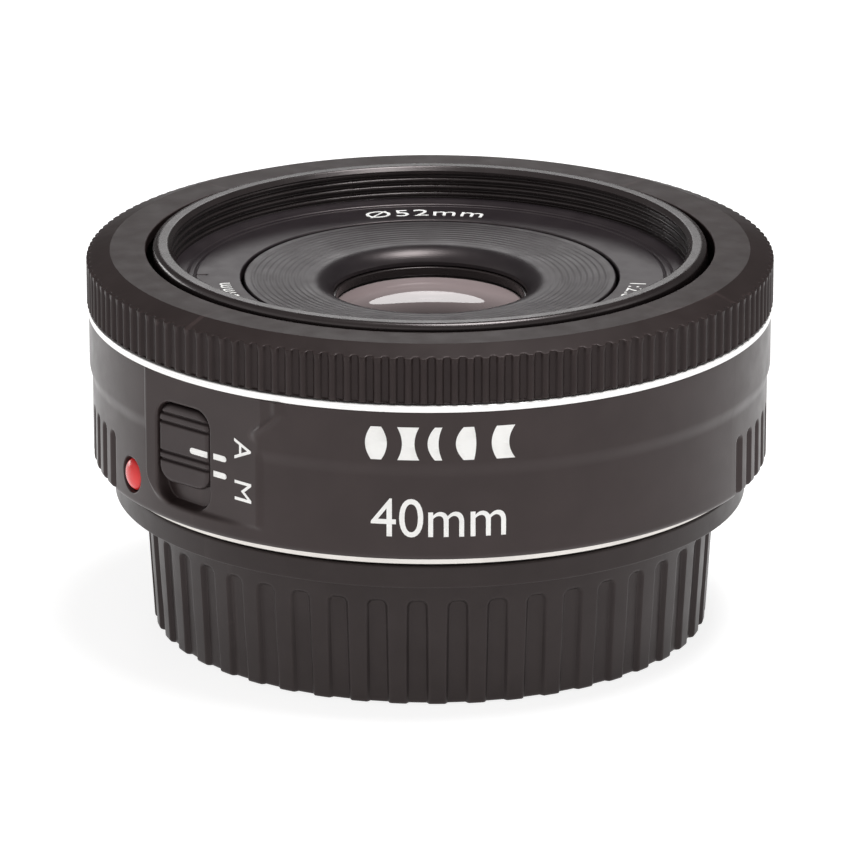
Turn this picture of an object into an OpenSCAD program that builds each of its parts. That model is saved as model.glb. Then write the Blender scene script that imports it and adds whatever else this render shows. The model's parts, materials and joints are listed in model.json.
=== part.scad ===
// Pancake prime lens with its rear dust cap on. The optical axis is +Z towards the front, z = 0 is the
// face that the cap stands on, and the centre of the lens's top markings faces -Y. Heights in the
// modules below the cap are counted from the mount plane, which is flange_z above the origin.

/* [Overall] */
// Height of the mount plane above the face that the rear cap stands on
flange_z = 16; // [15.9:0.1:18]
// Largest radius, across the ribs of the focus ring
ring_r = 34.1; // [33.95:0.05:34.3]
// Height of the front rim above the mount plane
front_h = 22.8; // [22.7:0.1:23.4]

/* [Barrel cover] */
// Radius of the cover above its blended step
cover_r = 33.9; // [33.8:0.05:33.9]
// Radius of the cover below its blended step
cover_low_r = 33.6; // [33.4:0.05:33.7]
// Inner radius of the cover
cover_in_r = 32.4; // [32.35:0.05:32.5]
// Height of the cover's top edge, under the accent ring
cover_top = 16.04; // [15.9:0.02:16.1]
// Number of grip flutes on each side
flutes = 12; // [4:1:14]
// Angle between neighbouring flutes, in degrees
flute_pitch = 4.6; // [4.2:0.1:5]

/* [Focus ring] */
// Number of ribs round the focus ring
ribs = 144; // [60:1:180]
// Depth of the grooves between the ribs
rib_depth = 0.35; // [0.2:0.05:0.4]
// Radius of the opening in the focus ring's front face
ring_open_r = 28.3; // [28:0.05:28.6]
// Radial running clearance between the focus ring and its sleeve
ring_play = 0.06; // [0.03:0.01:0.09]

/* [Focus switch] */
// Angle of the switch about the axis, in degrees from the top markings
switch_phi = -47.4; // [-50:0.1:-46]
// Angle that the flat switch panel faces
panel_phi = -42.8; // [-44:0.1:-42]
// Travel of the knob between its two positions
switch_travel = 1.75; // [1.2:0.05:2]
// Width of the slot that the knob slides in
slot_w = 6.95; // [6.6:0.05:7.1]
// Height of the slot
slot_h = 10.2; // [9.4:0.1:10.6]

/* [Focus drive] */
// Travel of the optics from infinity to the closest focus
focus_travel = 7; // [5:0.5:7]
// Turn of the cam ring for each millimetre of travel, in degrees
cam_rate = 10; // [8:1:10]
// Module of the focus gears
gear_m = 0.4; // [0.4:0.1:0.4]
// Teeth on the cam ring
cam_teeth = 96; // [96:1:96]

/* [Filter barrel] */
// Outer radius of the filter barrel
filter_r = 27.5; // [27.3:0.05:27.6]
// Radius of the filter thread's crests
thread_r = 25.6; // [25.5:0.05:25.7]
// Pitch of the filter thread
thread_pitch = 0.75; // [0.75:0.25:0.75]

/* [Diaphragm] */
// Number of blades
blades = 7; // [7:1:7]
// Turn of a blade from fully open to the smallest opening, in degrees
blade_turn = 29; // [20:1:29]
// Thickness of a blade
blade_t = 0.08; // [0.05:0.01:0.08]

/* [Rear cap] */
// Radius of the cap's body under its rim band
cap_r = 28.5; // [28.3:0.1:28.6]
// Radius of the cap's rim band
cap_band_r = 31.5; // [31.2:0.1:31.6]
// Number of grip grooves round the cap
cap_grooves = 45; // [30:1:45]

/* [Hidden] */
$fn = 96;

// Angles are counted from -Y, positive towards +X
dot_phi = -61.8;          // mounting index dot
dot_z = 3.95;
flute_start = 63.1;       // first flute on the right-hand side
flute_start_left = -69.5; // first flute on the left-hand side
contact_phi = 180;        // contacts face the underside of a mounted lens
gear_phi = 20;            // reduction gear
screw_phi = 45;           // first mount screw

sleeve_r = cover_in_r - 0.1;   // fixed sleeve that carries the focus ring
ring_bore_r = sleeve_r + ring_play;
sleeve_in_r = 31;
sleeve_top = 20.9;
guide_in_r = 15.9;
guide_r = 16.9;
guide_top = 13.4;
pin_r = 0.9;
pin_z = 5;                // height of the cam pins at rest
cell_r = 15.8;            // outside of the lens cells
web_z = 13.7;             // underside of the filter barrel's web

// Gear centres: the cam ring meshes the small wheel, the motor pinion meshes the big wheel
small_teeth = 12;
big_teeth = 20;
motor_teeth = 10;
cam_pitch_r = gear_m * cam_teeth / 2;
reduction_r = cam_pitch_r + gear_m * small_teeth / 2;
motor_r = 22.9;
motor_gap = gear_m * (big_teeth + motor_teeth) / 2;
motor_phi = gear_phi + acos((pow(reduction_r, 2) + pow(motor_r, 2) - pow(motor_gap, 2))
                            / (2 * reduction_r * motor_r));
reduction_pos = polar(reduction_r, gear_phi);
motor_pos = polar(motor_r, motor_phi);
mesh_dir = atan2(motor_pos.y - reduction_pos.y, motor_pos.x - reduction_pos.x);

// Diaphragm: blades turn on pivots and their drive pins ride in curved slots of the drive ring
pivot_r = 10.9;
drive_arm = 1.8;
drive_lead = 15;          // angle of the drive arm behind the tangent
drive_pin_r = 0.3;
blade_in_r = 6.5;
blade_out_r = 9.9;
blade_arc = 106;         // length of a blade's band, in degrees
blade_z = 8.4;
blade_step = 0.12;
iris_m = 0.3;
iris_teeth = 84;
iris_pinion_teeth = 8;
iris_pinion_r = iris_m * (iris_teeth + iris_pinion_teeth) / 2;
iris_phi = 250;

function polar(r, phi) = [r * sin(phi), -r * cos(phi)];
function involute(a) = tan(a) * 180 / PI - a;
function flank(n, m, r, play) =
  90 / n * (1 - play) + involute(20) - involute(acos(min(1, m * n / 2 * cos(20) / r)));

// Outline of a spur gear with one tooth centred on +X
function gear_points(n, m, play) =
  let (rp = m * n / 2, ra = rp + 0.85 * m, rf = rp - 1.2 * m,
       rm = max(rp * cos(20), rf + 0.1 * m), radii = [rf, rm, rp, ra])
  [for (k = [0 : n - 1])
    each concat([for (r = radii) point(r, 360 * k / n - flank(n, m, r, play))],
                [for (i = [3 : -1 : 0]) point(radii[i], 360 * k / n + flank(n, m, radii[i], play))])];
function point(r, a) = [r * cos(a), r * sin(a)];

// ---------------------------------------------------------------- helpers
module at_mount() { translate([0, 0, flange_z]) children(); }
module around(phi, r) { rotate([0, 0, phi]) translate([0, -r, 0]) children(); }
module tube(ro, ri, z0, z1) {
  translate([0, 0, z0]) difference() {
    cylinder(r = ro, h = z1 - z0);
    translate([0, 0, -1]) cylinder(r = ri, h = z1 - z0 + 2);
  }
}
module disc(r, z0, z1) { translate([0, 0, z0]) cylinder(r = r, h = z1 - z0); }
module turned(points) { rotate_extrude() polygon(points); }
module wedge(a0, a1, r) {
  mid = (a0 + a1) / 2;
  polygon([[0, 0], point(r, a0), point(r / cos((a1 - a0) / 4), mid), point(r, a1)]);
}
// A ring segment between two angles counted from -Y, at most 120 degrees long
module segment(ro, ri, a0, a1, z0, z1) {
  intersection() {
    tube(ro, ri, z0, z1);
    translate([0, 0, z0 - 1]) linear_extrude(z1 - z0 + 2) wedge(a0 - 90, a1 - 90, 2 * ro);
  }
}
module rounded_rect(w, h, r) {
  square([w - 2 * r, h], center = true);
  square([w, h - 2 * r], center = true);
  for (x = [-1, 1], y = [-1, 1]) translate([x * (w / 2 - r), y * (h / 2 - r)]) circle(r = r);
}
// A rounded block that points outwards along -Y, from radius r0 to r1, centred at height z
module outward_block(w, h, r, r0, r1, z) {
  translate([0, -r0, z]) rotate([90, 0, 0]) linear_extrude(r1 - r0) rounded_rect(w, h, r);
}
module outward_pin(r, r0, r1, z) {
  translate([0, -r0, z]) rotate([90, 0, 0]) cylinder(r = r, h = r1 - r0);
}
module gear(n, m, h, play = 0.12) { linear_extrude(h) polygon(gear_points(n, m, play)); }
// A glass blank between two spherical faces: positive radii bulge outwards, negative ones are hollow
module element(r, z_top, r_top, z_low, r_low) {
  difference() {
    intersection() {
      disc(r, z_low - 4, z_top + 4);
      if (r_top > 0) translate([0, 0, z_top - r_top]) sphere(r = r_top);
      if (r_low > 0) translate([0, 0, z_low + r_low]) sphere(r = r_low);
      if (r_top < 0 && r_low < 0) disc(r, z_low - 3.5, z_top + 1.2);
    }
    if (r_top < 0) translate([0, 0, z_top - r_top]) sphere(r = -r_top);
    if (r_low < 0) translate([0, 0, z_low + r_low]) sphere(r = -r_low);
  }
}
module pan_screw(head_r, shank_r, z_face, head_h, depth) {
  disc(head_r, z_face, z_face + head_h);
  disc(shank_r, z_face - depth, z_face);
}

// ---------------------------------------------------------------- fixed barrel
panel_r = ring_r - 0.05;
switch_z = 8.05;
switch_x = -2.7;     // middle of the slot, to the left of the panel's own middle
panel_flat = 33.2;   // distance of the panel's flat face from the axis

module barrel_cover() {
  color("#2b2727") at_mount() difference() {
    union() {
      turned([[cover_in_r, 0.95], [cover_low_r - 0.8, 0.95], [cover_low_r - 0.25, 1.2],
              [cover_low_r, 1.8], [cover_low_r, 9.5],
              [cover_r, 11], [cover_r, cover_top], [cover_in_r, cover_top]]);
      intersection() {
        tube(panel_r, cover_in_r, 2.9, cover_top - 0.2);
        around(panel_phi, 0) outward_block(16, 12.9, 1.5, 30, 36, 9.4);
      }
    }
    around(panel_phi, 0) {
      outward_block(15.3, 12.2, 1.2, panel_flat, 36, 9.4);
      translate([switch_x, 0, 0]) outward_block(slot_w, slot_h, 0.9, 30, 36, switch_z);
    }
    around(dot_phi, 0) outward_pin(1.7, 32.9, 36, dot_z);
    for (side = [flute_start, flute_start_left], k = [0 : flutes - 1])
      around(side + sign(side) * k * flute_pitch, 0) {
        outward_pin(0.75, cover_low_r - 0.4, 36, 6.5);
        translate([-0.75, -36, 0]) cube([1.5, 36 - cover_low_r + 0.4, 6.5]);
      }
  }
}
module accent_ring() { color("white") at_mount() tube(cover_r + 0.1, sleeve_r + 0.05, cover_top, 16.74); }
module index_dot() {
  color("red") at_mount() around(dot_phi, 0) intersection() {
    outward_pin(1.6, 32.9, 36, dot_z);
    translate([0, -panel_r + 3.2, dot_z]) sphere(r = 3.2);
  }
}
module main_frame() {
  color("#1c1a1a") at_mount() difference() {
    union() {
      tube(sleeve_r, guide_in_r, 0.83, 1.9);
      tube(sleeve_r, sleeve_in_r, 0.83, sleeve_top);
      tube(guide_r, guide_in_r, 0.83, guide_top);
      for (k = [0 : 3]) around(screw_phi + 90 * k, 28.4) disc(1.6, 1.2, 3);
      for (phi = board_screw_phis) around(phi, 25.5) disc(1.4, 1.2, 3.2);
      for (phi = bracket_phis) around(phi, 23.4) disc(1.3, 1.2, 4.5);
    }
    tube(sleeve_in_r + 0.75, sleeve_in_r - 1, 17.3, 18.5);
    for (k = [0 : 3]) around(screw_phi + 90 * k, 28.4) disc(0.8, 0, 4);
    for (phi = board_screw_phis) around(phi, 25.5) disc(0.6, 1.4, 4);
    for (phi = bracket_phis) around(phi, 23.4) disc(0.5, 1.4, 5);
    translate([reduction_pos.x, reduction_pos.y, 0]) disc(0.5, 1.2, 4);
    for (k = [0 : 2]) around(120 * k, 0) {
      outward_pin(pin_r + 0.05, 14, 18, pin_z);
      outward_pin(pin_r + 0.05, 14, 18, pin_z + focus_travel);
      translate([-pin_r - 0.05, -18, pin_z]) cube([2 * pin_r + 0.1, 4, focus_travel]);
    }
    around(switch_phi, 0) outward_block(12, 12.6, 1, 29, 34, 8.7);
  }
}
module mount_ring() {
  color("silver") at_mount() difference() {
    union() {
      tube(31.9, 22.9, 0, 0.83);
      tube(24.8, 22.9, -5.6, 0);
      for (k = [0 : 2]) segment(26.6, 24.8, 120 * k - 28, 120 * k + 28, -4.2, -2.6);
    }
    for (k = [0 : 3]) around(screw_phi + 90 * k, 28.4) {
      disc(0.8, -1, 2);
      translate([0, 0, -0.01]) cylinder(r1 = 1.5, r2 = 0.8, h = 0.7);
    }
    around(-30, 28.9) disc(1.2, -1, 2);
  }
}
module mount_screws() {
  color("gray") at_mount() for (k = [0 : 3]) around(screw_phi + 90 * k, 28.4) difference() {
    union() {
      cylinder(r1 = 1.48, r2 = 0.8, h = 0.68);
      disc(0.8, 0, 2.9);
    }
    for (a = [0, 90]) rotate([0, 0, a]) translate([-0.8, -0.14, -1]) cube([1.6, 0.28, 1.3]);
  }
}
pin_pitch = 8.2;
module contact_block() {
  color("#151414") at_mount() difference() {
    segment(22.9, 19.4, contact_phi - 35, contact_phi + 35, -5.5, -1.6);
    for (k = [-3.5 : 3.5]) around(contact_phi + k * pin_pitch, 21.2) disc(0.6, -7, -2.5);
  }
}
module contact_pins() {
  color("gold") at_mount() for (k = [-3.5 : 3.5]) around(contact_phi + k * pin_pitch, 21.2) {
    disc(0.6, -5.6, -2.5);
    translate([0, 0, -5.6]) intersection() {
      sphere(r = 0.6);
      disc(0.6, -1, 0);
    }
  }
}
module rear_light_cover() {
  color("#1c1a1a") at_mount() union() {
    tube(22.9, 12, -1.6, -0.7);
    tube(22.9, 22.2, -0.7, 0.83);
  }
}
board_screw_phis = [90, 180, 270];
board_phis = [75, 178, 282];
module circuit_board() {
  color("#1e5a34") at_mount() difference() {
    union() {
      segment(30.4, 20.5, board_phis[0], board_phis[1] + 1, 3.2, 4);
      segment(30.4, 20.5, board_phis[1], board_phis[2], 3.2, 4);
    }
    for (phi = board_screw_phis) around(phi, 25.5) disc(0.6, 2, 5);
  }
}
module board_chips() {
  color("#202020") at_mount() for (chip = [[120, 7, 6], [150, 5, 4], [212, 8, 7], [245, 4, 5]])
    around(chip[0], 25.5) translate([-chip[1] / 2, -chip[2] / 2, 4]) cube([chip[1], chip[2], 1]);
}
module board_screws() {
  color("gray") at_mount() for (phi = board_screw_phis) around(phi, 25.5) pan_screw(1.2, 0.6, 4, 0.7, 2.6);
}
bracket_phis = [gear_phi - 14, motor_phi + 14];
module focus_motor() {
  color("silver") at_mount() translate([motor_pos.x, motor_pos.y, 0]) difference() {
    union() {
      disc(3.3, 5.1, 12.2);
      disc(1.2, 4.5, 5.1);
    }
    disc(0.53, 4, 11.5);
  }
}
module motor_bracket() {
  color("#8a8a80") at_mount() difference() {
    segment(25.3, 20.4, bracket_phis[0] - 4, bracket_phis[1] + 4, 4.5, 5.1);
    translate([motor_pos.x, motor_pos.y, 0]) disc(1.2, 4, 6);
    translate([reduction_pos.x, reduction_pos.y, 0]) disc(0.5, 4, 6);
    for (phi = bracket_phis) around(phi, 23.4) disc(0.5, 4, 6);
  }
}
module bracket_screws() {
  color("gray") at_mount() for (phi = bracket_phis) around(phi, 23.4) pan_screw(1, 0.5, 5.1, 0.6, 3.7);
}
module gear_axle() {
  color("gray") at_mount() translate([reduction_pos.x, reduction_pos.y, 0]) disc(0.5, 1.2, 5.1);
}
sensor_phis = [92, 101];
module ring_sensors() {
  color("#202020") at_mount() for (phi = sensor_phis) around(phi, 0) difference() {
    translate([-1.8, -30.9, 13.6]) cube([3.6, 2.3, 3.3]);
    translate([-3, -30.45, 14.9]) cube([6, 0.95, 3]);
  }
}
module slide_switch() {
  color("#30302e") at_mount() around(switch_phi, 0) difference() {
    outward_block(9, 7, 0.5, 28, 30.8, switch_z);
    outward_block(2.4, 5, 0.3, 29.2, 32, switch_z);
  }
}

// ---------------------------------------------------------------- focus ring
rib_half = 0.21 * 360 / ribs;
slope = 0.04 * 360 / ribs;
module focus_ring() {
  root_r = ring_r - rib_depth;
  outline = [for (k = [0 : ribs - 1]) let (a = 360 * k / ribs, gap = 360 / ribs - rib_half - slope)
             each [point(ring_r, a - rib_half), point(ring_r, a + rib_half),
                   point(root_r, a + rib_half + slope), point(root_r, a + gap)]];
  color("#2b2727") at_mount() union() {
    translate([0, 0, 16.9]) linear_extrude(4.55) difference() {
      polygon(outline);
      circle(r = ring_bore_r);
    }
    turned([[ring_open_r, 21.2], [30.2, 21.2], [30.2, 17.6], [31.5, 17.6], [31.5, 18.2], [30.8, 18.2],
            [30.8, 21.2], [ring_bore_r, 21.2], [ring_bore_r, 21.45], [root_r, 21.45], [31.76, 22.26],
            [ring_open_r, 22.26]]);
  }
}
comb_slots = 60;
module encoder_comb() {
  color("#8a8a80") at_mount() difference() {
    tube(30.15, 29.9, 15.4, 19.4);
    for (k = [0 : comb_slots - 1]) around(360 * k / comb_slots, 0)
      translate([-0.75, -31, 15]) cube([1.5, 2, 2]);
  }
}

// ---------------------------------------------------------------- focus drive
module cam_ring() {
  steps = 7;
  turn = cam_rate * focus_travel;
  half = pin_r + 0.12;
  lead = atan2(focus_travel, turn * PI / 180 * 17.7);
  run = norm([focus_travel, turn * PI / 180 * 17.7]) / steps;
  color("#b09858") at_mount() difference() {
    union() {
      tube(18.4, guide_r + 0.05, 3.1, guide_top);
      translate([0, 0, 3.1]) rotate([0, 0, gear_phi - 90]) difference() {
        gear(cam_teeth, gear_m, 0.9);
        translate([0, 0, -1]) cylinder(r = 17.5, h = 3);
      }
    }
    for (j = [0 : 2], i = [0 : steps]) around(120 * j - turn * i / steps, 0) {
      outward_pin(half, 16, 20, pin_z + focus_travel * i / steps);
      if (i < steps) rotate([0, 0, -turn / steps / 2])
        translate([0, -18, pin_z + focus_travel * (i + 0.5) / steps]) rotate([0, lead, 0])
          cube([run, 4, 2 * half], center = true);
    }
  }
}
module reduction_gear() {
  color("white") at_mount() translate([reduction_pos.x, reduction_pos.y, 0]) difference() {
    union() {
      translate([0, 0, 2.1]) rotate([0, 0, mesh_dir]) gear(big_teeth, gear_m, 0.7);
      translate([0, 0, 2.8]) rotate([0, 0, gear_phi + 90 + 180 / small_teeth])
        gear(small_teeth, gear_m, 1.4);
    }
    disc(0.55, 0, 5);
  }
}
module motor_pinion() {
  color("gold") at_mount() translate([motor_pos.x, motor_pos.y, 0]) union() {
    translate([0, 0, 2.1]) rotate([0, 0, mesh_dir + 180 + 180 / motor_teeth])
      gear(motor_teeth, gear_m, 0.7);
    disc(0.5, 2.8, 11.2);
  }
}

// ---------------------------------------------------------------- moving optics
thread_turns = 4;
thread_top = 22.35;
module filter_barrel() {
  crest = 0.25;
  thread = [for (k = [0 : thread_turns - 1]) let (z = thread_top - thread_pitch * k)
            each [[thread_r, z], [thread_r, z - crest],
                  [thread_r + 0.4, z - crest - (thread_pitch - crest) / 2]]];
  z_low = thread_top - thread_pitch * thread_turns;
  crown = [for (a = [0 : 15 : 90]) [filter_r - 0.6 + 0.6 * cos(a), front_h - 0.6 + 0.6 * sin(a)]];
  color("#2b2727") at_mount() turned(concat(
    [[filter_r, 11]], crown, [[26.3, front_h], [25.95, front_h - 0.2]], thread,
    [[thread_r, z_low], [thread_r, z_low - 0.05], [25.95, z_low - 0.05], [25.95, 18.3], [24.9, 18.3],
     [24.9, web_z + 0.8], [15.9, web_z + 0.8], [15.9, web_z], [26.9, web_z], [26.9, 11]]));
}
module name_ring() {
  color("#302c2e") at_mount() turned([[18.8, 18.3], [25.9, 18.3], [25.9, 19.28], [18.8, 19.2]]);
}
module front_cone() {
  ridge = 0.6;
  lip = 2.56;
  lip_r = 11.85;
  lip_z = 16.28;
  lip_end = 149.1;
  top = [for (k = [0 : 9]) let (r = 17.9 - ridge * k, z = lip_z + lip + (r - lip_r) * 0.047)
         each [[r, z], [r - 0.6 * ridge, z - 0.1]]];
  rim = [for (k = [0 : 6]) let (a = 90 + (lip_end - 90) * k / 6)
         [lip_r + lip * cos(a), lip_z + lip * sin(a)]];
  color("#3a3638") at_mount() turned(concat(
    [[lip_r + lip * cos(lip_end), 17.2], [11, 17.2], [12.3, 18], [17.8, 18.3], [17.8, 15.1], [18.5, 15.1],
     [18.5, 19.15]], top, rim));
}
module front_cell() {
  color("#1c1a1a") at_mount() difference() {
    turned([[6.7, 10.35], [cell_r, 10.35], [cell_r, 14.5], [18.4, 14.5], [18.4, 15.1], [10.9, 15.1],
            [10.9, 16.9], [9.8, 16.9], [9.8, 13.75], [7.55, 13.75], [7.55, 10.6], [6.7, 10.6]]);
    for (phi = cell_screw_phis) around(phi, 14.4) disc(0.5, 10, 16);
    for (phi = web_screw_phis) around(phi, 17) disc(0.4, 14, 16);
    around(iris_phi, iris_pinion_r) disc(0.45, 10, 16);
  }
}
module rear_cell() {
  color("#1c1a1a") at_mount() difference() {
    turned([[8.8, -0.3], [9.9, -0.3], [9.9, 6.9], [14.2, 6.9], [14.2, -0.3], [cell_r, -0.3],
            [cell_r, 10.35], [13, 10.35], [13, 7.9], [7.5, 7.9], [7.5, 3.5], [6.6, 3.5], [6.6, 3.1],
            [7.9, 2.4], [8.8, 2.4]]);
    for (phi = cell_screw_phis) around(phi, 14.4) disc(0.5, 8, 11);
    for (k = [0 : 2]) around(120 * k, 0) outward_pin(0.5, 13.6, 17, pin_z);
    around(iris_phi, iris_pinion_r) disc(1.65, 9.3, 11);
  }
}
cell_screw_phis = [50, 170, 290];
web_screw_phis = [20, 140, 260];
module cell_screws() {
  color("gray") at_mount() {
    for (phi = cell_screw_phis) around(phi, 14.4) pan_screw(0.9, 0.5, 15.1, 0.5, 6.8);
    for (phi = web_screw_phis) around(phi, 17) pan_screw(0.55, 0.4, 15.1, 0.4, 0.6);
  }
}
module cam_pins() {
  color("silver") at_mount() for (k = [0 : 2]) around(120 * k, 0) {
    outward_pin(0.5, 14.3, cell_r + 0.05, pin_z);
    outward_pin(pin_r, cell_r + 0.05, 18.2, pin_z);
  }
}
module front_retainer() {
  color("#1c1a1a") at_mount() difference() {
    tube(9.75, 9.35, 16.2, 17.1);
    for (a = [0, 180]) around(a, 9.5) translate([-0.4, -1, 16.7]) cube([0.8, 2, 1]);
  }
}
module rear_retainer() {
  color("#1c1a1a") at_mount() difference() {
    tube(8.75, 7.75, -0.25, 0.95);
    for (a = [0, 180]) around(a, 8.3) translate([-0.4, -1, -1]) cube([0.8, 2, 1.1]);
  }
}
module front_element() { color("#6f8fae") at_mount() element(9.75, 17.53, 30, 14.6, -60); }
module second_element() { color("#7fa0c0") at_mount() element(7.5, 14.2, 24, 12.1, 40); }
module third_element() { color("#8fb0d0") at_mount() element(7.5, 12.08, -40, 11.6, -30); }
module fourth_element() { color("#7fa0c0") at_mount() element(7.4, 6.82, -40, 6.22, -14); }
module fifth_element() { color("#8fb0d0") at_mount() element(7.4, 6.2, 14, 3.2, 60); }
module rear_element() { color("#6f8fae") at_mount() element(8.6, 2.95, 50, 0, 28); }

module diaphragm_base() {
  color("#454545") at_mount() union() {
    tube(12.95, 6.3, 7.9, 8.3);
    for (k = [0 : blades - 1]) rotate([0, 0, 360 * k / blades]) translate([pivot_r, 0, 0])
      disc(0.4, 7.9, 9.3);
  }
}
module diaphragm_cover() { color("#454545") at_mount() tube(12.95, 6.9, 9.92, 10.3); }
module diaphragm_motor() {
  color("silver") at_mount() around(iris_phi, iris_pinion_r) difference() {
    disc(2.3, 15.12, 17.15);
    disc(0.43, 15, 16.6);
  }
}
module diaphragm_ring() {
  // the slot is the pin's path seen from the ring: an arc about the drive arm's own offset
  centre = [-drive_arm * sin(drive_lead), -drive_arm * cos(drive_lead)];
  half = drive_pin_r + 0.08;
  color("#8a8a80") at_mount() translate([0, 0, 9.4]) difference() {
    union() {
      cylinder(r = 12.2, h = 0.4);
      intersection() {
        rotate([0, 0, iris_phi - 90]) gear(iris_teeth, iris_m, 0.4);
        linear_extrude(0.4) wedge(iris_phi - 90 - 36, iris_phi - 90 + 8, 20);
      }
    }
    translate([0, 0, -1]) cylinder(r = 7.4, h = 3);
    for (k = [0 : blades - 1]) rotate([0, 0, 360 * k / blades]) translate([centre.x, centre.y, -1]) {
      intersection() {
        difference() {
          cylinder(r = pivot_r + half, h = 3);
          cylinder(r = pivot_r - half, h = 3);
        }
        linear_extrude(3) wedge(-blade_turn, 0, 20);
      }
      for (a = [0, -blade_turn]) rotate([0, 0, a]) translate([pivot_r, 0, 0]) cylinder(r = half, h = 3);
    }
  }
}
module diaphragm_pinion() {
  color("gold") at_mount() around(iris_phi, iris_pinion_r) union() {
    translate([0, 0, 9.4]) rotate([0, 0, 90 + 180 / iris_pinion_teeth])
      gear(iris_pinion_teeth, iris_m, 0.4, 0.15);
    disc(0.4, 9.8, 16.4);
  }
}
module blade(k) {
  drive = [pivot_r - drive_arm * sin(drive_lead), -drive_arm * cos(drive_lead)];
  z = blade_z + blade_step * (k - 1);
  color("#111111") at_mount() rotate([0, 0, 360 * (k - 1) / blades]) {
    translate([0, 0, z]) linear_extrude(blade_t) difference() {
      union() {
        intersection() {
          difference() {
            circle(r = blade_out_r);
            circle(r = blade_in_r);
          }
          wedge(-8, blade_arc, 20);
        }
        translate([blade_out_r - 1.3, -0.7]) square([pivot_r - blade_out_r + 1.3, 1.4]);
        translate([pivot_r, 0]) circle(r = 0.95);
        translate([pivot_r, 0]) rotate(-90 - drive_lead) translate([0, -0.4]) square([drive_arm, 0.8]);
        translate(drive) circle(r = 0.55);
      }
      translate([pivot_r, 0]) circle(r = 0.45);
    }
    translate([drive.x, drive.y, 0]) disc(drive_pin_r, z, 9.8);
  }
}

// ---------------------------------------------------------------- knob and cap
module switch_knob() {
  knob_w = slot_w - 0.25;
  knob_h = slot_h - switch_travel - 0.45;
  knob_z = switch_z + slot_h / 2 - 0.25 - knob_h / 2;
  face = panel_flat - 0.05;
  color("#464040") at_mount() difference() {
    union() {
      around(panel_phi, 0) translate([switch_x, 0, 0])
        outward_block(knob_w, knob_h, 0.8, 31.3, face, knob_z);
      around(switch_phi, 0) {
        outward_block(knob_w + 1.6, knob_h + 0.9, 0.8, 31.3, 31.9, knob_z);
        outward_block(1.8, 1.8, 0.3, 29.6, 31.4, knob_z);
      }
    }
    around(panel_phi, 0) for (z = [3, 2.1, -0.95, -1.75])
      translate([switch_x - knob_w / 2 - 0.1, -face - 0.1, knob_z + z - 0.15]) cube([knob_w + 0.2, 0.3, 0.3]);
  }
}
module rear_cap() {
  body_top = flange_z - 2.6;
  groove_w = 1.85;
  color("#262222") difference() {
    union() {
      turned([[0, 0], [cap_r - 1.4, 0], [cap_r - 0.8, 0.5], [cap_r, body_top],
              [cap_band_r - 0.15, body_top], [cap_band_r, body_top + 0.15],
              [cap_band_r, flange_z - 0.63], [cap_band_r - 0.3, flange_z - 0.33],
              [27.2, flange_z - 0.33], [27.2, 9], [26, 9], [26, 1.5], [0, 1.5]]);
      at_mount() for (k = [0 : 2]) segment(27.3, 25.1, 120 * k - 28, 120 * k + 28, -6.2, -4.5);
    }
    for (k = [0 : cap_grooves - 1]) around(360 * (k + 0.5) / cap_grooves, 0) {
      outward_pin(groove_w / 2, cap_r - 0.55, 33, 10);
      translate([-groove_w / 2, -33, -1]) cube([groove_w, 33 - cap_r + 0.55, 11]);
    }
  }
}

// ---------------------------------------------------------------- assembly
barrel_cover();
accent_ring();
index_dot();
main_frame();
mount_ring();
mount_screws();
contact_block();
contact_pins();
rear_light_cover();
circuit_board();
board_chips();
board_screws();
focus_motor();
motor_bracket();
bracket_screws();
gear_axle();
ring_sensors();
slide_switch();
focus_ring();
encoder_comb();
cam_ring();
reduction_gear();
motor_pinion();
filter_barrel();
name_ring();
front_cone();
front_cell();
rear_cell();
cell_screws();
cam_pins();
front_retainer();
rear_retainer();
front_element();
second_element();
third_element();
fourth_element();
fifth_element();
rear_element();
diaphragm_base();
diaphragm_cover();
diaphragm_motor();
diaphragm_ring();
diaphragm_pinion();
blade(1);  // blade_1
blade(2);  // blade_2
blade(3);  // blade_3
blade(4);  // blade_4
blade(5);  // blade_5
blade(6);  // blade_6
blade(7);  // blade_7
switch_knob();
rear_cap();
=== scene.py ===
"""Looks of the pancake prime lens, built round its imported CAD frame.

Lengths are in millimetres until a mesh is made. Heights count from the mount plane, and angles from
-Y, positive towards +X, as in the part's own source.
"""
import json
import math

import bmesh
import bpy
import numpy as np
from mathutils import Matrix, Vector


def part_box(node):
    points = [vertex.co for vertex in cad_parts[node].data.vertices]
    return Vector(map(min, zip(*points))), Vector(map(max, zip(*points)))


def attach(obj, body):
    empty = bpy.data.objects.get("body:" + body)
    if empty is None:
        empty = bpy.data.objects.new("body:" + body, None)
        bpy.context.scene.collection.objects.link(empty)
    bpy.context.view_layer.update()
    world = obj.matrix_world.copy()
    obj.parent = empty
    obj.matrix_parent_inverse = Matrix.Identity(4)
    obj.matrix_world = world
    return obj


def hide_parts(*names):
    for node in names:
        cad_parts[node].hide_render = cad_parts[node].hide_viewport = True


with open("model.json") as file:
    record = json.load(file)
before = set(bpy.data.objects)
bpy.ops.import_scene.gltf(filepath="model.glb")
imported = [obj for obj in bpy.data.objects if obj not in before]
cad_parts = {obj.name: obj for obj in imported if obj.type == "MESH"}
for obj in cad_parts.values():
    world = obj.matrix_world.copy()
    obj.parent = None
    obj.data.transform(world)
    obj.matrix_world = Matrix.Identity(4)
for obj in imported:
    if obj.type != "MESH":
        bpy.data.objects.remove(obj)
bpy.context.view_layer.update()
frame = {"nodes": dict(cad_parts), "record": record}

MM = 0.001
TUBE_LENGTH = 5.6  # the mount's tube reaches this far below the mount plane
MOUNT_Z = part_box("mount_ring")[0].z / MM + TUBE_LENGTH
RING_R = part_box("focus_ring")[1].x / MM


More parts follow.
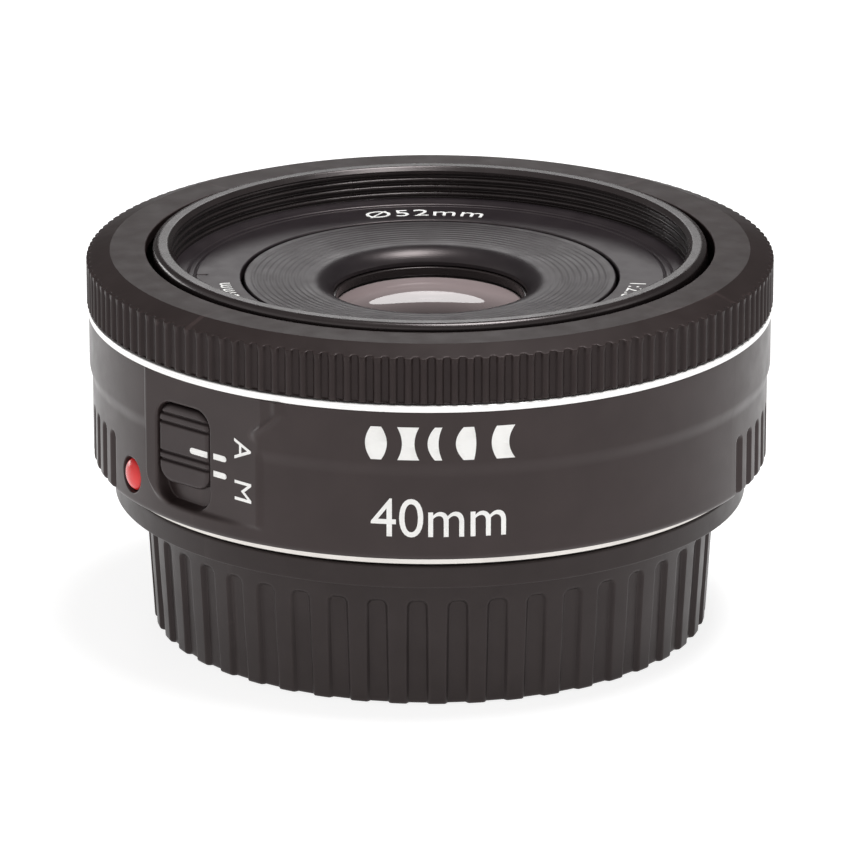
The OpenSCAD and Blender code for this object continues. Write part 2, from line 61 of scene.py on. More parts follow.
# ---------------------------------------------------------------- mesh helpers
def place(name, verts, faces, material, body, nodes=(), merge=False):
    """Makes one smooth mesh from points in mm, with area-weighted normals, and rides it on a body."""
    verts = np.asarray(verts, float).reshape(-1, 3) + (0, 0, MOUNT_Z)
    mesh = bpy.data.meshes.new(name)
    mesh.from_pydata((verts * MM).tolist(), [], [list(f) for f in faces])
    if merge:
        weld(mesh)
    mesh.validate()
    mesh.update()
    weigh_normals(mesh)
    obj = bpy.data.objects.new(name, mesh)
    bpy.context.scene.collection.objects.link(obj)
    mesh.materials.append(material)
    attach(obj, body)
    if nodes:
        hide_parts(*nodes)
    return obj


def weld(mesh, distance=1e-7):
    """Joins the points that coincide, such as those on the axis."""
    bm = bmesh.new()
    bm.from_mesh(mesh)
    bmesh.ops.remove_doubles(bm, verts=bm.verts, dist=distance)
    bmesh.ops.dissolve_degenerate(bm, edges=bm.edges, dist=distance)
    bm.to_mesh(mesh)
    bm.free()


def weigh_normals(mesh):
    """Smooth shading in which large faces stay flat next to small fillets."""
    mesh.polygons.foreach_set("use_smooth", [True] * len(mesh.polygons))
    loops = np.empty(len(mesh.loops), int)
    mesh.loops.foreach_get("vertex_index", loops)
    sizes = np.empty(len(mesh.polygons), int)
    areas = np.empty(len(mesh.polygons))
    normals = np.empty(len(mesh.polygons) * 3)
    mesh.polygons.foreach_get("loop_total", sizes)
    mesh.polygons.foreach_get("area", areas)
    mesh.polygons.foreach_get("normal", normals)
    weighted = np.repeat(normals.reshape(-1, 3) * areas[:, None], sizes, axis=0)
    total = np.zeros((len(mesh.vertices), 3))
    for axis in range(3):
        total[:, axis] = np.bincount(loops, weighted[:, axis], len(mesh.vertices))
    total /= np.maximum(np.linalg.norm(total, axis=1, keepdims=True), 1e-20)
    mesh.normals_split_custom_set_from_vertices(total.tolist())


def grid_faces(nu, nv, wrap_u=True, wrap_v=True):
    """Quads of a grid whose points are listed row by row, nv points in each of nu rows."""
    u = np.arange(nu if wrap_u else nu - 1)
    v = np.arange(nv if wrap_v else nv - 1)
    uu, vv = np.meshgrid(u, v, indexing="ij")
    u2, v2 = (uu + 1) % nu, (vv + 1) % nv
    quads = np.stack([uu * nv + vv, u2 * nv + vv, u2 * nv + v2, uu * nv + v2], axis=-1)
    return quads.reshape(-1, 4).tolist()


def rounded(points, steps=5):
    """Closed (radius, height) outline; a third number in a point is its corner's fillet radius."""
    out = []
    count = len(points)
    for i, point in enumerate(points):
        p = np.array(point[:2], float)
        r = point[2] if len(point) > 2 else 0
        a = np.array(points[i - 1][:2], float) - p
        b = np.array(points[(i + 1) % count][:2], float) - p
        la, lb = np.linalg.norm(a), np.linalg.norm(b)
        a, b = a / la, b / lb
        half = math.acos(max(-1, min(1, float(a @ b)))) / 2
        if r <= 0 or half > math.radians(88):
            out.append(p)
            continue
        reach = min(r / math.tan(half), 0.49 * la, 0.49 * lb)
        radius = reach * math.tan(half)
        centre = p + (a + b) / np.linalg.norm(a + b) * radius / math.sin(half)
        start, end = p + a * reach - centre, p + b * reach - centre
        turn = math.atan2(start[0] * end[1] - start[1] * end[0], float(start @ end))
        for k in range(steps + 1):
            c, s = math.cos(turn * k / steps), math.sin(turn * k / steps)
            out.append(centre + (start[0] * c - start[1] * s, start[0] * s + start[1] * c))
    return np.array(out)


def fill(points, step):
    """Adds points along an outline so that none of its sides is longer than step."""
    out = []
    for i, p in enumerate(points):
        q = points[(i + 1) % len(points)]
        n = max(1, int(np.ceil(np.linalg.norm(q - p) / step)))
        out += [p + (q - p) * k / n for k in range(n)]
    return np.array(out)


def turned_points(angle, radius, height):
    """Points at these angles (radians), radii and heights round the axis."""
    return np.stack([radius * np.sin(angle), -radius * np.cos(angle), height], axis=-1)


def revolve(name, outline, material, body, nodes=(), phis=None, warp=None, merge=False):
    """Turns a closed outline round the axis. warp(phi, r, z) may move the points of each section."""
    r, z = outline[:, 0], outline[:, 1]
    if np.sum(r * np.roll(z, -1) - np.roll(r, -1) * z) < 0:
        r, z = r[::-1], z[::-1]
    phis = np.arange(0, 360, 1.0) if phis is None else phis
    phi, rr = np.meshgrid(phis, r, indexing="ij")
    zz = np.broadcast_to(z, rr.shape)
    if warp:
        rr, zz = warp(phi, rr, zz)
    verts = turned_points(np.radians(phi), rr, zz)
    return place(name, verts, grid_faces(len(phis), len(r)), material, body, nodes, merge)


def smooth(low, high, x):
    """0 up to low, 1 from high on, with an easy curve between."""
    t = np.clip((x - low) / (high - low), 0, 1)
    return t * t * (3 - 2 * t)


FAR = 9  # a distance beyond the reach of any groove


def near_side(turn, distance):
    """The distance where a point is on the near side of the barrel, since a sine repeats on the far side."""
    return np.where(np.cos(turn) > 0, distance, FAR)


def rounded_box(x, y, half_w, half_h, radius):
    """Signed distance to a rounded rectangle, negative inside."""
    dx, dy = np.abs(x) - half_w + radius, np.abs(y) - half_h + radius
    outside = np.hypot(np.maximum(dx, 0), np.maximum(dy, 0))
    return outside + np.minimum(np.maximum(dx, dy), 0) - radius


# ---------------------------------------------------------------- materials
def nodes_of(material):
    material.use_nodes = True
    tree = material.node_tree
    return tree, tree.nodes["Principled BSDF"]


def noise(tree, scale, detail=3.0, stretch=None):
    coords = tree.nodes.new("ShaderNodeTexCoord")
    tex = tree.nodes.new("ShaderNodeTexNoise")
    tex.inputs["Scale"].default_value = scale
    tex.inputs["Detail"].default_value = detail
    source = coords.outputs["Object"]
    if stretch:
        mapping = tree.nodes.new("ShaderNodeMapping")
        mapping.inputs["Scale"].default_value = stretch
        tree.links.new(source, mapping.inputs["Vector"])
        source = mapping.outputs["Vector"]
    tree.links.new(source, tex.inputs["Vector"])
    return tex.outputs["Fac"]


def spread(tree, value, low, high, start=0.3, end=0.7):
    """Maps a texture's middle range to low..high."""
    node = tree.nodes.new("ShaderNodeMapRange")
    for socket, number in (("From Min", start), ("From Max", end), ("To Min", low), ("To Max", high)):
        node.inputs[socket].default_value = number
    tree.links.new(value, node.inputs["Value"])
    return node.outputs["Result"]


def blend(tree, factor, a, b):
    node = tree.nodes.new("ShaderNodeMix")
    node.data_type = "RGBA"
    tree.links.new(factor, node.inputs[0])
    for socket, value in ((node.inputs[6], a), (node.inputs[7], b)):
        if isinstance(value, tuple):
            socket.default_value = (*value, 1)
        else:
            tree.links.new(value, socket)
    return node.outputs[2]


def math_node(tree, kind, a, b=None):
    node = tree.nodes.new("ShaderNodeMath")
    node.operation = kind
    for socket, value in zip(node.inputs, (a, b)):
        if isinstance(value, (int, float)):
            socket.default_value = value
        elif value is not None:
            tree.links.new(value, socket)
    return node.outputs[0]


def bump(tree, shader, height, distance, strength=1.0, after=None):
    node = tree.nodes.new("ShaderNodeBump")
    node.inputs["Distance"].default_value = distance
    node.inputs["Strength"].default_value = strength
    tree.links.new(height, node.inputs["Height"])
    if after:
        tree.links.new(after, node.inputs["Normal"])
    tree.links.new(node.outputs["Normal"], shader.inputs["Normal"])
    return node.outputs["Normal"]


def dust(tree, density=0.06):
    """Sparse specks, as a mask."""
    coords = tree.nodes.new("ShaderNodeTexCoord")
    cells = tree.nodes.new("ShaderNodeTexVoronoi")
    cells.inputs["Scale"].default_value = 900
    tree.links.new(coords.outputs["Object"], cells.inputs["Vector"])
    near = math_node(tree, "LESS_THAN", cells.outputs["Distance"], 0.075)
    picked = math_node(tree, "LESS_THAN", math_node(tree, "FRACT", cells.outputs["Color"], 0), density)
    return math_node(tree, "MULTIPLY", near, picked)


def moulded(name, dark, light, rough, grain=7000, depth=6e-6, wear_and_glint=0.0, coat=0.0, specks=0.04, shine=0.4):
    """Moulded black plastic: mottled colour, sparkle texture, uneven gloss, dust, and convex edges lightened,
    partly as worn edges and partly as painted glints.
    """
    material = bpy.data.materials.new(name)
    tree, shader = nodes_of(material)
    colour = blend(tree, spread(tree, noise(tree, 220, 4), 0, 1), dark, light)
    if wear_and_glint:
        # convex edges are lightened: partly worn edges, partly painted glints
        edges = tree.nodes.new("ShaderNodeNewGeometry").outputs["Pointiness"]
        rub_and_glint = math_node(tree, "MULTIPLY", spread(tree, edges, 0, wear_and_glint, 0.505, 0.56),
                        spread(tree, noise(tree, 500, 5), 0.2, 1))
        colour = blend(tree, rub_and_glint, colour, tuple(min(1, 2.6 * c) for c in light))
    if specks:
        colour = blend(tree, dust(tree, specks), colour, (0.35, 0.33, 0.32))
    tree.links.new(colour, shader.inputs["Base Color"])
    tree.links.new(spread(tree, noise(tree, 420, 5), rough - 0.04, rough + 0.04), shader.inputs["Roughness"])
    shader.inputs["Specular IOR Level"].default_value = shine
    shader.inputs["Specular Tint"].default_value = (1, 0.88, 0.88, 1)
    shader.inputs["Coat Weight"].default_value = coat
    shader.inputs["Coat Roughness"].default_value = 0.25
    fine = bump(tree, shader, noise(tree, grain, 2), depth)
    bump(tree, shader, noise(tree, 350, 3), 1.5e-6, 0.4, fine)
    return material


def metal(name, colour, rough, metallic=1.0, turned=True, depth=2e-6):
    """Machined metal with turning marks about the optical axis, or plain brushed metal."""
    material = bpy.data.materials.new(name)
    tree, shader = nodes_of(material)
    coords = tree.nodes.new("ShaderNodeTexCoord")
    if turned:
        flat = tree.nodes.new("ShaderNodeVectorMath")
        flat.operation = "MULTIPLY"
        flat.inputs[1].default_value = (1, 1, 0)
        tree.links.new(coords.outputs["Object"], flat.inputs[0])
        length = tree.nodes.new("ShaderNodeVectorMath")
        length.operation = "LENGTH"
        tree.links.new(flat.outputs["Vector"], length.inputs[0])
        parts = tree.nodes.new("ShaderNodeSeparateXYZ")
        tree.links.new(coords.outputs["Object"], parts.inputs[0])
        place_of = tree.nodes.new("ShaderNodeCombineXYZ")
        tree.links.new(length.outputs["Value"], place_of.inputs[0])
        tree.links.new(parts.outputs["Z"], place_of.inputs[2])
        marks = tree.nodes.new("ShaderNodeTexNoise")
        marks.inputs["Scale"].default_value = 9000
        tree.links.new(place_of.outputs["Vector"], marks.inputs["Vector"])
        grooves = marks.outputs["Fac"]
    else:
        grooves = noise(tree, 2500, 3, (1, 1, 12))
    tint = spread(tree, noise(tree, 180, 4), 0, 1)
    colour_out = blend(tree, tint, tuple(0.88 * c for c in colour), colour)
    tree.links.new(colour_out, shader.inputs["Base Color"])
    tree.links.new(spread(tree, grooves, rough - 0.08, rough + 0.08), shader.inputs["Roughness"])
    shader.inputs["Metallic"].default_value = metallic
    bump(tree, shader, grooves, depth, 0.6)
    return material


def glass(name, tint, ior, film):
    """Clear glass with faint smears; film is its coating's thickness in nanometres."""
    material = bpy.data.materials.new(name)
    tree, shader = nodes_of(material)
    shader.inputs["Base Color"].default_value = (*tint, 1)
    shader.inputs["Transmission Weight"].default_value = 1
    shader.inputs["IOR"].default_value = ior
    shader.inputs["Thin Film Thickness"].default_value = film
    shader.inputs["Thin Film IOR"].default_value = 1.38
    smear = spread(tree, noise(tree, 260, 4), 0.0, 0.035, 0.45, 0.8)
    tree.links.new(smear, shader.inputs["Roughness"])
    return material


def glass_painted_shade_and_reflection(name):
    """Front element: glass tinted near black, which is painted shade keeping the inside behind it dark, with
    a painted reflection: a pale diffuse layer mixed in where its face is seen at a low angle.
    """
    # the near-black tint is painted shade of the inside behind the glass
    material = glass(name, (0.07, 0.06, 0.06), 2.75, 0)
    tree, clear = nodes_of(material)
    # painted reflection: a pale brown-grey diffuse layer in place of light reflected from and seen through
    # the glass
    painted_veil = tree.nodes.new("ShaderNodeBsdfDiffuse")
    cloud = spread(tree, noise(tree, 120, 3), 0, 1)
    tree.links.new(blend(tree, cloud, (0.4, 0.32, 0.32), (0.46, 0.38, 0.38)), painted_veil.inputs["Color"])
    weight = tree.nodes.new("ShaderNodeLayerWeight")
    weight.inputs["Blend"].default_value = 0.5
    mix = tree.nodes.new("ShaderNodeMixShader")
    tree.links.new(spread(tree, weight.outputs["Facing"], 0.0, 0.5, 0.45, 0.75), mix.inputs["Fac"])
    tree.links.new(clear.outputs["BSDF"], mix.inputs[1])
    tree.links.new(painted_veil.outputs["BSDF"], mix.inputs[2])
    tree.links.new(mix.outputs["Shader"], tree.nodes["Material Output"].inputs["Surface"])
    return material


def board(name):
    """Green circuit board with copper tracks under the mask."""
    material = bpy.data.materials.new(name)
    tree, shader = nodes_of(material)
    coords = tree.nodes.new("ShaderNodeTexCoord")
    bricks = tree.nodes.new("ShaderNodeTexBrick")
    bricks.inputs["Scale"].default_value = 450
    bricks.inputs["Mortar Size"].default_value = 0.03
    tree.links.new(coords.outputs["Object"], bricks.inputs["Vector"])
    colour = blend(tree, bricks.outputs["Fac"], (0.012, 0.09, 0.035), (0.03, 0.2, 0.08))
    tree.links.new(colour, shader.inputs["Base Color"])
    shader.inputs["Roughness"].default_value = 0.3
    bump(tree, shader, bricks.outputs["Fac"], 2e-5)
    return material


MATERIALS = {
    "black_polycarbonate": moulded("cover_polycarbonate", (0.017, 0.0115, 0.011), (0.023, 0.016, 0.0155),
                                   0.34, wear_and_glint=0.15),
    # strong edge lightening here: painted glints on the ribs' edges, together with worn edges
    "focus_ring_plastic": moulded("focus_ring_plastic", (0.016, 0.011, 0.0105), (0.02, 0.014, 0.0135), 0.42,
                                  grain=9000, depth=4e-6, wear_and_glint=0.5, specks=0.03, shine=0.24),
    "bright_trim": metal("bright_trim", (1.0, 0.99, 0.98), 0.3, 0.35),
    "red_index": moulded("red_index", (0.6, 0.012, 0.012), (0.68, 0.018, 0.018), 0.22, depth=1e-6, coat=0.3,
                         specks=0.0),
    "frame_plastic": moulded("frame_plastic", (0.012, 0.011, 0.011), (0.02, 0.018, 0.018), 0.6),
    "mount_metal": metal("mount_metal", (0.68, 0.65, 0.62), 0.32),
    "screw_steel": metal("screw_steel", (0.5, 0.5, 0.5), 0.3, turned=False),
    "contact_gold": metal("contact_gold", (0.95, 0.68, 0.3), 0.18, turned=False),
    "board_laminate": board("board_laminate"),
    "chip_resin": moulded("chip_resin", (0.02, 0.02, 0.02), (0.03, 0.03, 0.03), 0.5, specks=0.0),
    "motor_can": metal("motor_can", (0.62, 0.62, 0.62), 0.28, turned=False),
    "bracket_metal": metal("bracket_metal", (0.55, 0.55, 0.53), 0.4, turned=False),
    "cam_plastic": moulded("cam_plastic", (0.42, 0.36, 0.24), (0.5, 0.44, 0.32), 0.4),
    "gear_plastic": moulded("gear_plastic", (0.72, 0.72, 0.68), (0.8, 0.8, 0.77), 0.35, specks=0.0),
    "pinion_brass": metal("pinion_brass", (0.85, 0.63, 0.3), 0.25, turned=False),
    "barrel_black": moulded("barrel_black", (0.011, 0.0085, 0.0085), (0.016, 0.012, 0.012), 0.26, depth=1e-7,
                            coat=0.25, specks=0.01),
    "lens_black": moulded("lens_black", (0.016, 0.0125, 0.0145), (0.021, 0.017, 0.019), 0.36, depth=2e-6,
                          specks=0.01, shine=0.5),
    "optical_glass": glass("optical_glass", (0.97, 0.99, 1.0), 1.62, 420),
    "blade_film": metal("blade_film", (0.05, 0.05, 0.05), 0.45, 0.6, turned=False),
    "knob_plastic": moulded("knob_plastic", (0.019, 0.014, 0.014), (0.025, 0.019, 0.019), 0.38, wear_and_glint=0.3),
    "cap_plastic": moulded("cap_plastic", (0.018, 0.014, 0.0135), (0.024, 0.019, 0.0185), 0.38, grain=5000,
                           depth=8e-6, wear_and_glint=0.25, shine=0.27),
}
WHITE_PAINT = moulded("marking_paint", (0.82, 0.82, 0.8), (0.9, 0.9, 0.88), 0.4, depth=1e-6, specks=0.0)

# a darker copy of lens_black for the ridged plate: its lower base colour is painted shade
CONE_BLACK_SHADED = moulded("cone_black_painted_shade", (0.012, 0.0095, 0.011), (0.016, 0.013, 0.0145), 0.33, depth=2e-6,
                     specks=0.01, shine=0.45)
FRONT_GLASS_PAINTED = glass_painted_shade_and_reflection("front_glass_painted_reflection")

for part in frame["record"]["subparts"]:
    mesh = frame["nodes"][part["node"]].data
    mesh.materials.clear()
    mesh.materials.append(MATERIALS[part["material_slot"]])

# ---------------------------------------------------------------- barrel cover
COVER_R = 33.9
COVER_LOW_R = 33.6
COVER_IN_R = 32.4
COVER_FOOT = 0.95
COVER_TOP = 16.04
PANEL_PHI = -42.8
PANEL_FLAT = 33.2  # distance of the switch panel's flat face from the axis
PANEL_MAX_R = RING_R - 0.06
SWITCH_X, SWITCH_Z = -2.7, 8.05  # middle of the slot on the panel
SLOT_W, SLOT_H, SLOT_CORNER = 6.95, 10.2, 1.9
SLOT_FLOOR = 32.45
DOT_PHI, DOT_Z, DOT_R = -61.8, 3.95, 1.66
FLUTES = 12
FLUTE_PITCH = 4.6
FLUTE_STARTS = (63.1, -69.5)
FLUTE_HALF = 0.8
FLUTE_TOP = 7.25
FLUTE_DEPTH = 0.5


def cover_radius(z):
    """The cover's outside, which swells a little half way up."""
    return COVER_LOW_R + (COVER_R - COVER_LOW_R) * smooth(9.4, 11.0, z)


def panel_weight(phi, z):
    """1 on the switch panel and 0 on the barrel, with a crisp left edge and a long slope on the right."""
    delta = phi - PANEL_PHI
    left = smooth(-13.7, -13.1, delta)
    edge = 11.5 + 4.2 * smooth(12.0, 15.0, z)
    right = 1 - smooth(edge, edge + 1.5, delta)
    arc = np.radians(delta) * COVER_R
    corner = rounded_box(arc, z - 12.4, 7.95, 9.6, 3.2)
    low = 1 - smooth(-0.3, 0.3, np.where(delta < 6, corner, 2.8 - z))
    return left * right * low, 0.25 * np.exp(-((delta - edge) / 0.8) ** 2) * smooth(11.4, 12.8, z) * low


def panel_radius(phi):
    """The flat panel's distance from the axis, no farther out than the focus ring."""
    return np.minimum(PANEL_FLAT / np.cos(np.radians(phi - PANEL_PHI)), PANEL_MAX_R)


def shape_cover(phi, r, z):
    """Presses the panel, slot, dot seat and flutes into the turned cover."""
    outer = smooth(COVER_IN_R + 0.15, COVER_IN_R + 0.3, r)
    base = r + cover_radius(z) - COVER_LOW_R
    panel, ridge = panel_weight(phi, z)
    base = base + (panel_radius(phi) - cover_radius(z)) * panel + ridge
    delta = np.radians(phi - PANEL_PHI)
    slot = rounded_box(np.sin(delta) * base - SWITCH_X, z - SWITCH_Z, SLOT_W / 2, SLOT_H / 2, SLOT_CORNER)
    slot = near_side(delta, slot)
    cut = 1 - smooth(-0.14, 0.04, slot)
    base = base * (1 - cut) + SLOT_FLOOR * cut
    base = base - 0.1 * (1 - smooth(0.0, 0.22, slot)) * (1 - cut)
    delta = np.radians(phi - DOT_PHI)
    dot = near_side(delta, np.hypot(np.sin(delta) * base, z - DOT_Z))
    base = base - 0.9 * (1 - smooth(DOT_R, DOT_R + 0.14, dot))
    for start in FLUTE_STARTS:
        side = math.copysign(1, start)
        turn = (phi - start) * side / FLUTE_PITCH
        nearest = np.clip(np.round(turn), 0, FLUTES - 1)
        x = np.radians((turn - nearest) * FLUTE_PITCH) * COVER_LOW_R
        away = np.hypot(x, np.maximum(z - FLUTE_TOP + FLUTE_HALF, 0))
        base = base - FLUTE_DEPTH * (1 - smooth(FLUTE_HALF - 0.42, FLUTE_HALF, away))
    return r + (base - r) * outer, z


def wrap_angle(values):
    """Sorted angles from 0 to 360, each once."""
    return np.unique(np.round(np.mod(values, 360), 4))


def build_cover():
    outline = rounded([(COVER_IN_R, COVER_FOOT), (COVER_LOW_R, COVER_FOOT, 0.85),
                       (COVER_LOW_R, COVER_TOP, 0.12), (COVER_IN_R, COVER_TOP, 0.1)], 8)
    flute_span = FLUTES * FLUTE_PITCH
    phis = wrap_angle(np.concatenate([
        np.arange(0, 360, 1.5), np.arange(-58, -18, 0.1), np.arange(-66, -58, 0.15),
        np.arange(FLUTE_STARTS[0] - 3, FLUTE_STARTS[0] + flute_span, 0.23),
        np.arange(FLUTE_STARTS[1] - flute_span, FLUTE_STARTS[1] + 3, 0.23)]))

    def warp(phi, r, z):
        return shape_cover(np.where(phi > 180, phi - 360, phi), r, z)

    revolve("barrel_cover_shell", fill(outline, 0.12), MATERIALS["black_polycarbonate"], "barrel",
            ("barrel_cover",), phis, warp)


build_cover()

# ---------------------------------------------------------------- rings of the fixed barrel
revolve("accent_trim", rounded([(32.36, COVER_TOP), (34.0, COVER_TOP, 0.1), (34.0, 16.74, 0.1),
                                (32.36, 16.74)]),
        MATERIALS["bright_trim"], "barrel", ("accent_ring",))


def build_mount():
    """Mount plate, its tube and the three bayonet lugs as one turned and milled part."""
    bore, tube, plate, thick = 22.9, 24.8, 31.9, 0.83
    lug_low, lug_top, lug_reach, lug_half_angle = -4.2, -2.6, 1.8, 27.7
    outline = rounded([(bore, -TUBE_LENGTH, 0.1), (tube, -TUBE_LENGTH, 0.15), (tube, lug_low, 0.05),
                       (tube, lug_top, 0.05), (tube, 0, 0.1), (plate, 0, 0.14), (plate, thick, 0.14),
                       (bore, thick)])
    outline = fill(outline, 0.35)

    def lugs(phi, r, z):
        from_middle = np.abs(np.mod(phi + 60, 120) - 60)
        on = (z < lug_top + 0.05) & (z > lug_low - 0.05) & (r > tube - 0.1)
        side = 1 - smooth(lug_half_angle - 0.5, lug_half_angle + 0.5, from_middle)
        return r + lug_reach * np.where(on, side, 0), z

    revolve("mount_plate", outline, MATERIALS["mount_metal"], "barrel", ("mount_ring",),
            np.arange(0, 360, 0.5), lugs)


build_mount()


def outward(phi, distance, across, z):
    """A point on a plane that faces outwards at angle phi."""
    a = np.radians(phi)
    out = np.array([np.sin(a), -np.cos(a)])
    side = np.array([np.cos(a), np.sin(a)])
    xy = np.multiply.outer(distance, out) + np.multiply.outer(across, side)
    return np.concatenate([xy, np.asarray(z, float)[..., None]], axis=-1)


def build_dot():
    """Red index dome: a small turned cap whose axis points outwards."""
    steps, turns = 14, 48
    base = cover_radius(DOT_Z) - 0.75
    rise = 1.1
    rings = [(DOT_R * math.sin(t), base + rise * math.cos(t) ** 0.8)
             for t in np.linspace(0.001, math.pi / 2, steps)]
    rings += [(DOT_R, base - 0.1), (0.001, base - 0.1)]
    angles = np.radians(np.arange(turns) * 360 / turns)
    ring_r = np.array([p[0] for p in rings])
    ring_d = np.array([p[1] for p in rings])
    verts = outward(DOT_PHI, np.broadcast_to(ring_d, (turns, len(rings))),
                    np.outer(np.cos(angles), ring_r), np.outer(np.sin(angles), ring_r) + DOT_Z)
    faces = [f[::-1] for f in grid_faces(turns, len(rings), True, True)]
    place("index_dome", verts, faces, MATERIALS["red_index"], "barrel", ("index_dot",), True)


build_dot()

# ---------------------------------------------------------------- focus ring
RIBS = 144
RIB_DEPTH = 0.35
RING_LOW, RING_SHOULDER, RING_FACE = 16.9, 21.45, 22.26
FACE_EDGE_R = 31.76
OPENING_R = 28.22


def build_focus_ring():
    """Ring with a groove between each two ribs, and each rib a little crowned."""
    half, crown_height = 0.43, 0.09
    pitch = 360 / RIBS
    top = RING_SHOULDER - 0.2

    def knurl(phi, r, z):
        x = (np.mod(phi / pitch, 1) - 0.5) * math.radians(pitch) * RING_R
        away = np.hypot(x, np.maximum(z - top, 0))
        groove = 1 - smooth(half - 0.13, half + 0.04, away)
        low = smooth(RING_LOW, RING_LOW + 0.12, z)
        outer = smooth(RING_R - 1.2, RING_R - 0.9, r)
        floor = RING_R - RIB_DEPTH
        from_crest = np.abs(np.mod(phi / pitch + 0.5, 1) - 0.5) * 2.4
        crown = crown_height * smooth(0.02, 0.4, from_crest) * (1 - smooth(top - 0.5, top, z))
        cut = np.where(r > floor, r - floor, 0) * groove * (0.35 + 0.65 * low)
        return r - (cut + crown * (1 - groove)) * outer, z

    outline = rounded([
        (32.36, RING_LOW), (RING_R, RING_LOW, 0.16), (RING_R, RING_SHOULDER, 0.12),
        (FACE_EDGE_R, RING_FACE, 0.12), (OPENING_R, RING_FACE, 0.12), (OPENING_R, 21.2, 0.1), (30.2, 21.2),
        (30.2, 17.6), (31.5, 17.6), (31.5, 18.2), (30.8, 18.2), (30.8, 21.2), (32.36, 21.2)])
    # the inside is hidden, so two in three of its points are left out
    outline = np.array([p for p in fill(outline, 0.14)
                        if not (p[0] < OPENING_R + 3.5 and p[1] < 21.1 and (round(p[1] * 100) % 3))])
    revolve("focus_grip", outline, MATERIALS["focus_ring_plastic"], "focus_ring", ("focus_ring",),
            np.arange(0, 360, pitch / 14), knurl)


build_focus_ring()

# ---------------------------------------------------------------- moving barrel and its rings
FILTER_R = 27.5
FRONT_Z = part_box("filter_barrel")[1].z / MM - MOUNT_Z
THREAD_R, THREAD_DEPTH, THREAD_PITCH = 25.6, 0.34, 0.75
THREAD_LOW, THREAD_TOP = 19.55, 22.3


def build_filter_barrel():
    """Moving barrel with a true helical thread in its mouth."""
    outline = rounded([
        (26.9, 11, 0.1), (FILTER_R, 11, 0.1), (FILTER_R, FRONT_Z, 0.62), (26.0, FRONT_Z, 0.3),
        (THREAD_R, FRONT_Z - 0.42, 0.05), (THREAD_R, 19.3, 0.05), (25.95, 19.3), (25.95, 18.3),
        (24.9, 18.3), (24.9, 14.5), (15.9, 14.5), (15.9, 13.7), (26.9, 13.7)], 7)

    def thread(phi, r, z):
        wall = (np.abs(r - THREAD_R) < 0.02) & (z > 19.3)
        turn = np.mod(z / THREAD_PITCH + phi / 360, 1)
        flank = 1 - np.abs(turn - 0.5) / 0.36
        cut = THREAD_DEPTH * np.clip(flank, 0, 1)
        fade = smooth(THREAD_LOW - 0.15, THREAD_LOW + 0.1, z) * (1 - smooth(THREAD_TOP - 0.1, THREAD_TOP, z))
        return r + np.where(wall, cut * fade, 0), z

    dense = fill(outline, 0.055)
    # only the thread needs close points
    keep = [p for p in dense if p[1] > 19.2 or p[0] > 26.5 or abs(round(p[1] * 4) / 4 - p[1]) < 0.03]
    revolve("front_barrel", np.array(keep), MATERIALS["barrel_black"], "optics", ("filter_barrel",),
            np.arange(0, 360, 1.0), thread)


build_filter_barrel()

NAME_OUT, NAME_IN = 25.9, 18.8


def name_height(r):
    """Height of the name ring's face, which rises slightly outwards."""
    return 19.2 + (r - NAME_IN) * 0.011


def build_name_ring():
    """Flat ring with a fine line, a step near its edge and an alignment tick."""
    notch_phi = -91.5
    line_r, step_r = 23.35, 24.1

    def marks(phi, r, z):
        top = z > 18.8
        line = 1 - smooth(0.05, 0.13, np.abs(r - line_r))
        step = 1 - smooth(0.03, 0.1, np.abs(r - step_r))
        rise = 0.2 * smooth(step_r, NAME_OUT - 0.5, r)
        turn = np.radians(phi - notch_phi)
        x = near_side(turn, np.sin(turn) * r)
        tick = (1 - smooth(0.05, 0.13, np.abs(x))) * smooth(22.3, 22.4, r) * (1 - smooth(23.3, 23.4, r))
        spot = 1 - smooth(0.12, 0.22, np.hypot(x, r - 22.3))
        sunk = 0.18 * np.maximum(np.maximum(line, 0.7 * step), np.maximum(tick, spot))
        return r, z + np.where(top, rise - sunk, 0)

    outline = rounded([(NAME_IN, 18.3), (NAME_OUT, 18.3), (NAME_OUT, name_height(NAME_OUT), 0.05),
                       (NAME_IN, name_height(NAME_IN), 0.15)])
    phis = wrap_angle(np.concatenate([np.arange(0, 360, 1.0), np.arange(-94, -89, 0.12)]))

    def warp(phi, r, z):
        return marks(np.where(phi > 180, phi - 360, phi), r, z)

    revolve("name_plate", fill(outline, 0.065), MATERIALS["lens_black"], "optics", ("name_ring",),
            phis, warp)


build_name_ring()

CONE_OUT, CONE_EDGE_Z = 18.5, 19.15
LIP, LIP_R, LIP_Z, LIP_END = 2.56, 11.85, 16.28, 149.1


def build_front_cone():
    """Gently sloping plate with fine rings, rolled over into the opening in front of the glass."""
    first, pitch, rings = 17.9, 0.61, 10
    last = first - pitch * rings
    shallow, deeper = 0.01, 0.024

    def ribbed(phi, r, z):
        on = (z > LIP_Z + LIP - 0.1) & (r < first) & (r > last)
        wave = 0.5 - 0.5 * np.cos(2 * np.pi * (first - r) / pitch)
        fade = smooth(last, last + 3 * pitch, r)
        return r, z - np.where(on, (shallow + deeper * fade) * wave, 0)

    lip = [(LIP_R + LIP * math.cos(math.radians(a)), LIP_Z + LIP * math.sin(math.radians(a)))
           for a in np.linspace(90, LIP_END, 14)]
    outline = rounded([(lip[-1][0], 17.2), (11.0, 17.2), (12.3, 18.0), (17.8, 18.3), (17.8, 15.12),
                       (CONE_OUT, 15.12), (CONE_OUT, CONE_EDGE_Z, 0.15)] + lip, 6)
    revolve("ridged_plate", fill(outline, 0.06), CONE_BLACK_SHADED, "optics", ("front_cone",),
            np.arange(0, 360, 1.5), ribbed)


build_front_cone()

revolve("glass_retainer",
        rounded([(9.35, 16.25, 0.05), (9.75, 16.25), (9.75, 17.1, 0.05), (9.35, 17.1, 0.1)]),
        MATERIALS["barrel_black"], "optics", ("front_retainer",))


